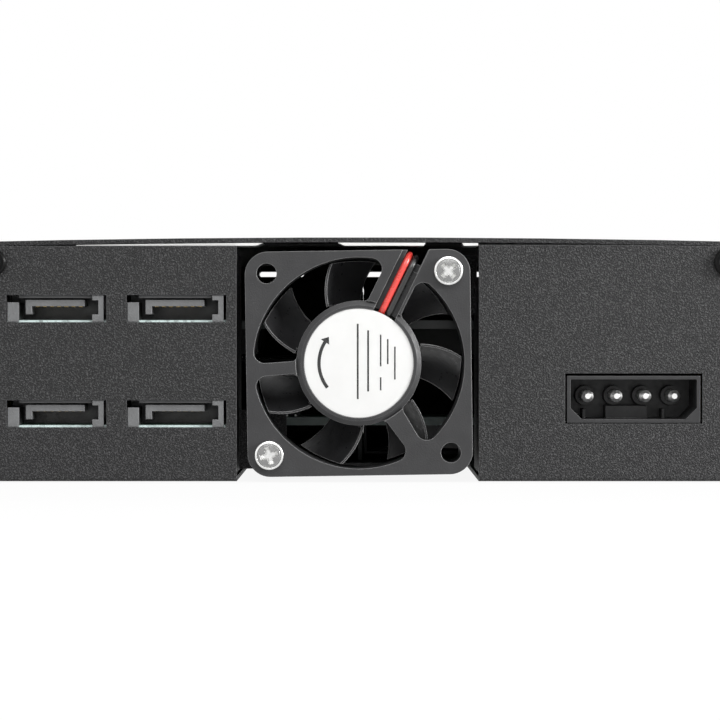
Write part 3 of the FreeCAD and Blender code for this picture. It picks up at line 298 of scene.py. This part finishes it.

# Each edge colour is a painted highlight, and each shade distance says how far painted shade reaches into
# recesses.
PLASTICS = {
    "front_plastic": dict(
        color=(0.014, 0.014, 0.015), roughness=0.5, grain=2000.0, depth=0.05 * MM, edge_highlight_color=grey(0.10)),
    "lever_plastic": dict(
        color=(0.018, 0.018, 0.019), roughness=0.42, grain=2600.0, depth=0.04 * MM, edge_highlight_color=grey(0.12)),
    "button_plastic": dict(
        color=(0.09, 0.092, 0.096), roughness=0.42, grain=2600.0, depth=0.03 * MM, edge_highlight_color=grey(0.25)),
    "connector_black": dict(
        color=(0.022, 0.022, 0.023), roughness=0.38, grain=3000.0, depth=0.02 * MM, edge_highlight_color=grey(0.16),
        shade=4 * MM),
    "header_white": dict(color=(0.62, 0.60, 0.53), roughness=0.4, grain=2400.0, depth=0.02 * MM),
    "lamp_body": dict(color=(0.70, 0.74, 0.66), roughness=0.25, grain=1500.0, depth=0.01 * MM),
    "fan_plastic": dict(
        color=(0.026, 0.026, 0.027), roughness=0.42, grain=3400.0, depth=0.08 * MM, edge_highlight_color=grey(0.40),
        edge_highlight_share=0.8),
    "magnet_rubber": dict(color=(0.035, 0.032, 0.032), roughness=0.6, grain=1800.0, depth=0.04 * MM),
    "lead_red": dict(
        color=(0.62, 0.045, 0.035), roughness=0.26, grain=1200.0, depth=0.02 * MM, specular=0.8),
    "lead_black": dict(color=grey(0.010), roughness=0.28, grain=1200.0, depth=0.02 * MM, specular=0.7),
    "screw_black": dict(
        color=grey(0.003), roughness=0.28, grain=2200.0, depth=0.02 * MM, edge_highlight_color=grey(0.07),
        specular=0.1, shade=1 * MM),
}
METALS = {
    "brass_posts": dict(color=(0.66, 0.48, 0.22), roughness=0.28, brushed=(1.0, 1.0, 0.1)),
    "contact_gold": dict(color=(0.78, 0.57, 0.22), roughness=0.22),
    "pin_tin": dict(color=(0.90, 0.90, 0.89), roughness=0.42, brushed=(1.0, 0.08, 1.0)),
    "bearing_bronze": dict(color=(0.42, 0.28, 0.13), roughness=0.45),
    "stator_steel": dict(color=(0.24, 0.23, 0.22), roughness=0.4, brushed=(1.0, 6.0, 1.0)),
    "shaft_steel": dict(color=(0.60, 0.61, 0.62), roughness=0.16, brushed=(1.0, 1.0, 0.08)),
    "spring_steel": dict(color=(0.48, 0.49, 0.50), roughness=0.28),
}
MATERIALS = {
    # The edge colours and the lighter crests of both coats are painted highlights.
    "case_coat": powder_coat(
        "case_coat", color=(0.008, 0.008, 0.0085), crest_highlight=(0.066, 0.066, 0.067),
        edge_highlight_color=(0.17, 0.17, 0.175), relief=0.34 * MM),
    "tray_coat": powder_coat(
        "tray_coat", color=(0.006, 0.006, 0.0065), crest_highlight=(0.022, 0.022, 0.023),
        edge_highlight_color=grey(0.07), relief=0.10 * MM),
    "board": circuit_board("board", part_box("lower_board")[1].z, laminate_and_shade=(0.30, 0.36, 0.35)),
    "light_guide": light_guide(),
    "label_film": label_film(),
    "screw_nickel": bright_screw(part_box("fan_frame")[1].y + SCREW_HEAD * 0.86),
    **{name: plastic(name, **look) for name, look in PLASTICS.items()},
    **{name: metal(name, **look) for name, look in METALS.items()},
}

# Nodes that look a little different from the other ones of their slot.
# Painted light: the ports get a much paler copy of the connectors' black plastic, as they stand in the light.
lit_port_plastic = plastic(
    "lit_port_plastic", color=(0.128, 0.130, 0.132), roughness=0.42, grain=2400.0, depth=0.16 * MM,
    edge_highlight_color=(0.38, 0.38, 0.39), specular=0.35, shade=2.2 * MM)
OWN_MATERIAL = {
    # Painted shade: the upper board's bare cut edges are coloured much darker than the lower board's.
    "upper_board": circuit_board(
        "upper_board_mask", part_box("upper_board")[1].z, laminate_and_shade=(0.05, 0.06, 0.06)),
    # The blades' plastic is painted a little darker than the frame's as shade, with a painted highlight along
    # their edges.
    "fan_rotor": plastic(
        "blade_plastic", color=(0.020, 0.020, 0.021), roughness=0.34, grain=2600.0, depth=0.04 * MM,
        edge_highlight_color=grey(0.60), edge_highlight_share=0.9),
    **{f"sata_port_{number}": lit_port_plastic for number in PORTS},
}

slot_of = {part["node"]: part["material_slot"] for part in frame["record"]["subparts"]}
for name, node in nodes.items():
    node.data.materials.clear()
    node.data.materials.append(OWN_MATERIAL.get(name, MATERIALS[slot_of[name]]))


# ---------------------------------------------------------------- added pieces


def add_object(name, data):
    """A new object of the scene."""
    made = bpy.data.objects.new(name, data)
    bpy.context.scene.collection.objects.link(made)
    return made


def mesh_from(form, name):
    """A mesh from a bmesh, which is used up."""
    mesh = bpy.data.meshes.new(name)
    form.to_mesh(mesh)
    form.free()
    return mesh


def add_piece(name, form, slot, body="cage", smooth_below=None):
    """A new object of the scene from a bmesh, riding on a body and finished as a slot."""
    bmesh.ops.recalc_face_normals(form, faces=form.faces)
    mesh = mesh_from(form, name)
    if smooth_below:
        mesh.polygons.foreach_set("use_smooth", [True] * len(mesh.polygons))
        mesh.set_sharp_from_angle(angle=math.radians(smooth_below))
    mesh.materials.append(MATERIALS[slot])
    piece = add_object(name, mesh)
    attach(piece, body)
    return piece


def prism(form, outline, low, high):
    """A closed prism along Y from an outline of (x, z) points."""
    near = [form.verts.new((x, low, z)) for x, z in outline]
    far = [form.verts.new((x, high, z)) for x, z in outline]
    form.faces.new(near)
    form.faces.new(list(reversed(far)))
    for i in range(len(outline)):
        j = (i + 1) % len(outline)
        form.faces.new((near[i], near[j], far[j], far[i]))


def block(form, low, high, bevel=0.0):
    """A box between two corners, with its edges eased."""
    made = bmesh.ops.create_cube(form, size=1.0)["verts"]
    for vert in made:
        vert.co = Vector([a + (b - a) * (c + 0.5) for a, b, c in zip(low, high, vert.co)])
    if bevel:
        edges = list({edge for vert in made for edge in vert.link_edges})
        bmesh.ops.bevel(form, geom=edges, offset=bevel, segments=2, profile=0.5, affect="EDGES")


def lathe(form, profile, steps, centre=(0, 0, 0)):
    """A solid of revolution about Z from (radius, height) points, with one point where it meets the axis."""
    angles = [2 * math.pi * i / steps for i in range(steps)]
    rings = []
    for radius, height in profile:
        rings.append([form.verts.new((
            centre[0] + radius * math.cos(angle), centre[1] + radius * math.sin(angle), centre[2] + height))
            for angle in (angles if radius > 0 else angles[:1])])
    for first, second in zip(rings, rings[1:]):
        for i in range(steps):
            j = (i + 1) % steps
            corners = [ring[k % len(ring)] for ring, k in ((first, i), (first, j), (second, j), (second, i))]
            form.faces.new(list(dict.fromkeys(corners)))


def recess_cutter(name):
    """Two crossed bars, longer and wider at the top than at the floor of the recess."""
    top = (SCREW_RADIUS * 0.72, SCREW_RADIUS * 0.22, SCREW_HEAD * 1.2)
    floor = (SCREW_RADIUS * 0.40, SCREW_RADIUS * 0.15, SCREW_HEAD * 0.25)
    form = bmesh.new()
    for turn in (0, math.pi / 2):
        bar = bmesh.ops.create_cube(form, size=2.0)["verts"]
        for vert in bar:
            half_length, half_width, height = top if vert.co.z > 0 else floor
            vert.co = (half_length * vert.co.x, half_width * vert.co.y, height)
        bmesh.ops.rotate(form, verts=bar, matrix=Matrix.Rotation(turn, 3, "Z"))
    return add_object(name, mesh_from(form, name))


def cut_away(piece, cutter):
    """Cuts one object out of another for good, and removes the cutter."""
    cut = piece.modifiers.new("recess", "BOOLEAN")
    cut.operation = "DIFFERENCE"
    cut.solver = "EXACT"
    cut.use_self = True
    cut.object = cutter
    bpy.context.view_layer.update()
    result = bpy.data.meshes.new_from_object(piece.evaluated_get(bpy.context.evaluated_depsgraph_get()))
    piece.modifiers.clear()
    piece.data = result
    bpy.data.objects.remove(cutter)


def cross_screw(name, seat, turn, length):
    """A pan head with a rim, a ring groove and a tapered cross recess, facing the rear from its seat."""
    radius, head = SCREW_RADIUS, SCREW_HEAD
    form = bmesh.new()
    lathe(form, [
        (0, -length), (radius * 0.55, -length), (radius * 0.55, 0), (radius, 0), (radius, head * 0.55),
        (radius * 0.97, head * 0.74), (radius * 0.90, head * 0.82), (radius * 0.85, head * 0.83),
        (radius * 0.80, head * 0.74), (radius * 0.76, head * 0.88), (radius * 0.45, head), (0, head * 1.03)],
        steps=64)
    screw = add_piece(name, form, "screw_nickel", smooth_below=28)
    cut_away(screw, recess_cutter(name + "_cutter"))
    to_rear = Matrix.Rotation(-math.pi / 2, 4, "X")
    screw.data.transform(Matrix.Translation(seat) @ to_rear @ Matrix.Rotation(turn, 4, "Z"))
    return screw


def make_fan_screws():
    """Two nickel plated screws in opposite corners of the fan, each turned its own way."""
    low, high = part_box("fan_screws")
    frame_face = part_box("fan_frame")[1].y
    spots = (
        (low.x + SCREW_RADIUS, high.z - SCREW_RADIUS, 0.76),
        (high.x - SCREW_RADIUS, low.z + SCREW_RADIUS, 0.30))
    for number, (x, z, turn) in enumerate(spots, 1):
        screw = cross_screw(f"fan_screw_{number}", Vector((x, frame_face, z)), turn, frame_face - low.y)
        if number == 1:
            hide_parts("fan_screws")


def make_label_print():
    """Plain ruled fields and an arrow for the direction of turning, without any lettering."""
    low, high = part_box("fan_label")
    x0, z0 = (low.x + high.x) / 2, (low.z + high.z) / 2
    radius = (high.x - low.x) / 2
    near, far = high.y + 0.004 * MM, high.y + 0.02 * MM
    form = bmesh.new()

    def spot(across, up):
        """A point of the label in shares of its radius."""
        return (x0 + radius * across, z0 + radius * up)

    # Each ruled line runs up the label: across, start, end and half its width, in shares of the radius.
    for across, start, end, half in (
            (0.02, -0.66, 0.72, 0.016), (-0.17, -0.52, 0.60, 0.016), (-0.40, -0.06, 0.52, 0.013),
            (-0.53, -0.02, 0.44, 0.013), (-0.40, -0.50, -0.26, 0.013), (-0.66, -0.30, 0.30, 0.013)):
        left, right = across - half, across + half
        prism(form, [spot(left, start), spot(right, start), spot(right, end), spot(left, end)], near, far)

    def around(reach, angle):
        """A point of the label at a share of its radius and an angle."""
        return spot(reach * math.cos(angle), reach * math.sin(angle))

    tail = math.radians(-38)
    sweep = math.radians(70)
    neck = tail + sweep
    steps = 24
    angles = [tail + sweep * i / steps for i in range(steps + 1)]
    shaft = [around(0.70, angle) for angle in angles] + [around(0.76, angle) for angle in reversed(angles)]
    prism(form, shaft, near, far)
    prism(form, [around(0.64, neck), around(0.82, neck), around(0.73, neck + 0.16)], near, far)
    add_piece("label_print", form, "lead_black")


SIDE_HEIGHT = 41 * MM
SHEET = 0.8 * MM


def make_cover_gap_light():
    """Pale strips under the crowned cover, painted light in the gap between the cover and the rear panels,
    cut away over the fan's leads.
    """
    cover_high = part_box("top_cover")[1]
    case_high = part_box("chassis")[1]
    crown = cover_high.z - SHEET - SIDE_HEIGHT
    under_cover = 0.10 * MM
    lower_edge = SIDE_HEIGHT + 0.26 * MM
    back = case_high.y - SHEET - 0.1 * MM
    front = back - 9 * MM
    steps = 8
    # Start and end across the case in mm, and how far the lower edge is drawn in at each.
    spans = ((49.7, 17.0, 0.0, 1.2), (3.9, -11.5, 1.2, 0.3), (-17.9, -20.7, 0.3, 0.0))
    for number, (start, end, start_in, end_in) in enumerate(spans, 1):
        form = bmesh.new()
        xs = [(start + (end - start) * i / steps) * MM for i in range(steps + 1)]
        arch = [(x, SIDE_HEIGHT + crown * (1 - (x / case_high.x) ** 2) - under_cover) for x in xs]
        lower_start = (xs[0] - start_in * MM, lower_edge)
        lower_end = (xs[-1] + end_in * MM, lower_edge)
        prism(form, [lower_start, *arch, lower_end], front, back)
        add_piece(f"cover_gap_light_{number}", form, "label_film")


def make_divider_shade_sheets():
    """Dark sheets on both faces of the divider, near its front edge, put there as painted shade: they close
    its gap to the trays.
    """
    divider_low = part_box("center_divider")[0]
    near_face = SHEET / 2 + 0.01 * MM
    tray_gap = 0.04 * MM
    front = divider_low.y + 1.5 * MM
    back = front + 5 * MM
    below, above = 0.9 * MM, 15.2 * MM
    eased = 0.05 * MM
    for number, row in enumerate((1, 3), 1):
        tray_low, tray_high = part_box(f"tray_{row}_carrier")
        far_face = min(abs(tray_low.x), abs(tray_high.x)) - tray_gap
        form = bmesh.new()
        for side in (-1, 1):
            near, far = sorted((side * near_face, side * far_face))
            block(form, (near, front, tray_low.z - below), (far, back, tray_low.z + above), eased)
        add_piece(f"divider_shade_sheet_{number}", form, "front_plastic")


SOLDER = 0.02 * MM


def capacitor(cans, x, y, z, radius, height):
    """An upright can with a groove above its foot."""
    lathe(cans, [
        (0, 0), (radius, 0), (radius, height * 0.12), (radius * 0.93, height * 0.16), (radius, height * 0.2),
        (radius, height * 0.95), (radius * 0.94, height), (0, height)], steps=32, centre=(x, y, z + SOLDER))


def legged_chip(chips, legs, x, y, z, wide, deep):
    """A chip with legs along its front and its back."""
    lift = 0.15 * MM
    height = 1.3 * MM
    eased = 0.12 * MM
    pitch = 1.27 * MM
    leg_half = 0.2 * MM
    leg_reach = 0.8 * MM
    leg_top = 0.4 * MM
    left, front, back = x - wide / 2, y - deep / 2, y + deep / 2
    block(chips, (left, front, z + lift), (left + wide, back, z + lift + height), eased)
    count = int(wide / pitch)
    for i in range(count):
        middle = left + (i + 0.5) * wide / count
        for low, high in ((front - leg_reach, front), (back, back + leg_reach)):
            block(legs, (middle - leg_half, low, z + SOLDER), (middle + leg_half, high, z + leg_top))


def small_part(chips, ends, x, y, z):
    """A chip resistor with a soldered end on either side."""
    half_wide, half_deep = 0.55 * MM, 0.4 * MM
    lift, top = 0.03 * MM, 0.5 * MM
    end_start, end_stop = 0.5 * MM, 0.95 * MM
    past = 0.02 * MM
    block(chips, (x - half_wide, y - half_deep, z + lift), (x + half_wide, y + half_deep, z + top))
    for side in (-1, 1):
        near, far = sorted((x + side * end_start, x + side * end_stop))
        block(ends, (near, y - half_deep - past, z + SOLDER), (far, y + half_deep + past, z + top + past))


def make_board_parts():
    """Capacitors, chips and small chip parts on top of both boards."""
    cans, chips, ends, legs = bmesh.new(), bmesh.new(), bmesh.new(), bmesh.new()
    for name in ("lower_board", "upper_board"):
        low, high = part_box(name)
        # Places in mm: across the case, and in front of the board's back edge.
        # On the upper board, the can at 42.3 mm also stands behind the gap by the inlet, a dark part put
        # there as painted shade to close a see-through.
        for x, ahead in ((42.3, 14.5), (44.0, 33.0), (-30.0, 22.0), (-57.0, 20.0), (30.0, 24.0)):
            capacitor(cans, x * MM, high.y - ahead * MM, high.z, radius=2.2 * MM, height=7 * MM)
        if name == "lower_board":
            capacitor(cans, -56 * MM, high.y - 18.5 * MM, high.z, radius=2.6 * MM, height=9.6 * MM)
        # Places in mm across the case and behind the board's front edge, and sizes in mm.
        for x, behind, wide, deep in (
                (52.0, 16.0, 9.0, 7.0), (14.0, 9.0, 5.0, 4.0), (-50.0, 14.0, 6.0, 5.0)):
            legged_chip(chips, legs, x * MM, low.y + behind * MM, high.z, wide * MM, deep * MM)
        draw = random.Random(7)
        for _ in range(26):
            x = draw.choice((-1, 1)) * draw.uniform(26.0, 62.0) * MM
            y = low.y + draw.uniform(10.5, 12.5) * MM
            small_part(chips, ends, x, y, high.z)
    add_piece("board_capacitors", cans, "connector_black", smooth_below=35)
    add_piece("board_chips", chips, "connector_black")
    add_piece("chip_ends", ends, "pin_tin")
    add_piece("chip_legs", legs, "pin_tin")


make_fan_screws()
make_label_print()
make_cover_gap_light()
make_board_parts()
make_divider_shade_sheets()


# ---------------------------------------------------------------- stage, light and camera


def backdrop_switch(tree):
    """One for camera, mirror and see-through rays, which show the plain backdrop."""
    path = tree.nodes.new("ShaderNodeLightPath")
    total = path.outputs["Is Camera Ray"]
    for name in ("Is Glossy Ray", "Is Transmission Ray"):
        both = tree.nodes.new("ShaderNodeMath")
        both.operation = "MAXIMUM"
        tree.links.new(total, both.inputs[0])
        tree.links.new(path.outputs[name], both.inputs[1])
        total = both.outputs[0]
    return total


def colored(tree, kind, level):
    """A shader node in a shade of grey."""
    node = tree.nodes.new(kind)
    node.inputs["Color"].default_value = (*grey(level), 1.0)
    return node


def blend(tree, factor, first, second, output):
    """Sends a mix of two shaders to the output."""
    mix = tree.nodes.new("ShaderNodeMixShader")
    tree.links.new(factor, mix.inputs["Fac"])
    tree.links.new(first.outputs[0], mix.inputs[1])
    tree.links.new(second.outputs[0], mix.inputs[2])
    tree.links.new(mix.outputs[0], output.inputs["Surface"])


def make_floor():
    """A pale floor just below the cage, which shows as the white backdrop with a faint shadow."""
    half, gap, whiteness = 1.6, 0.2 * MM, 0.9
    z = cad_low.z - gap
    mesh = bpy.data.meshes.new("floor")
    corners = [(-half, -half, z), (half, -half, z), (half, half, z), (-half, half, z)]
    mesh.from_pydata(corners, [], [(0, 1, 2, 3)])
    material = bpy.data.materials.new("floor")
    material.use_nodes = True
    tree = material.node_tree
    tree.nodes.clear()
    output = tree.nodes.new("ShaderNodeOutputMaterial")
    share = tree.nodes.new("ShaderNodeMath")
    share.operation = "MULTIPLY"
    share.inputs[1].default_value = whiteness
    tree.links.new(backdrop_switch(tree), share.inputs[0])
    lit = colored(tree, "ShaderNodeBsdfDiffuse", 0.82)
    white = colored(tree, "ShaderNodeEmission", 1.0)
    blend(tree, share.outputs[0], lit, white, output)
    mesh.materials.append(material)
    floor = add_object("floor", mesh)


def make_world():
    """White to look at, and a soft light from all around."""
    world = bpy.data.worlds.new("studio")
    bpy.context.scene.world = world
    world.use_nodes = True
    tree = world.node_tree
    tree.nodes.clear()
    output = tree.nodes.new("ShaderNodeOutputWorld")
    soft = colored(tree, "ShaderNodeBackground", 1.0)
    soft.inputs["Strength"].default_value = 0.35
    white = colored(tree, "ShaderNodeBackground", 1.0)
    blend(tree, backdrop_switch(tree), soft, white, output)


def add_light(name, place, target, size, power):
    """A rectangular lamp, in metres and watts, that points at a target."""
    data = bpy.data.lights.new(name, "AREA")
    data.shape = "RECTANGLE"
    data.size, data.size_y = size
    data.energy = power
    light = add_object(name, data)
    light.location = place
    light.rotation_euler = (Vector(target) - Vector(place)).to_track_quat("-Z", "Y").to_euler()


def make_camera():
    """Looks at the rear of the cage, slightly down from about the height of its middle."""
    view_width, distance = 125.9 * MM, 430 * MM
    rear = cad_high.y - 1.5 * MM
    target = Vector((0.0, rear, 21.24 * MM))
    eye = Vector((0.0, rear + distance, 26.4 * MM))
    data = bpy.data.cameras.new("camera")
    data.sensor_width = 36.0
    data.lens = data.sensor_width * distance / view_width
    data.clip_start = 10 * MM
    camera = add_object("camera", data)
    camera.location = eye
    camera.rotation_euler = (target - eye).to_track_quat("-Z", "Y").to_euler()
    bpy.context.scene.camera = camera


make_floor()
make_world()
add_light("key", place=(0.0, 0.80, 0.75), target=(0.0, 0.05, 0.02), size=(0.7, 0.5), power=5.6)
add_light("fill_left", place=(0.8, 0.45, 0.25), target=(0.0, 0.05, 0.02), size=(0.5, 0.5), power=0.7)
add_light("fill_right", place=(-0.60, 0.27, 0.20), target=(-0.03, 0.07, 0.02), size=(0.22, 0.22), power=5.5)
add_light("front", place=(0.1, -0.8, 0.6), target=(0.0, -0.05, 0.02), size=(0.6, 0.5), power=5.0)
make_camera()
bpy.context.scene.view_settings.view_transform = "Standard"
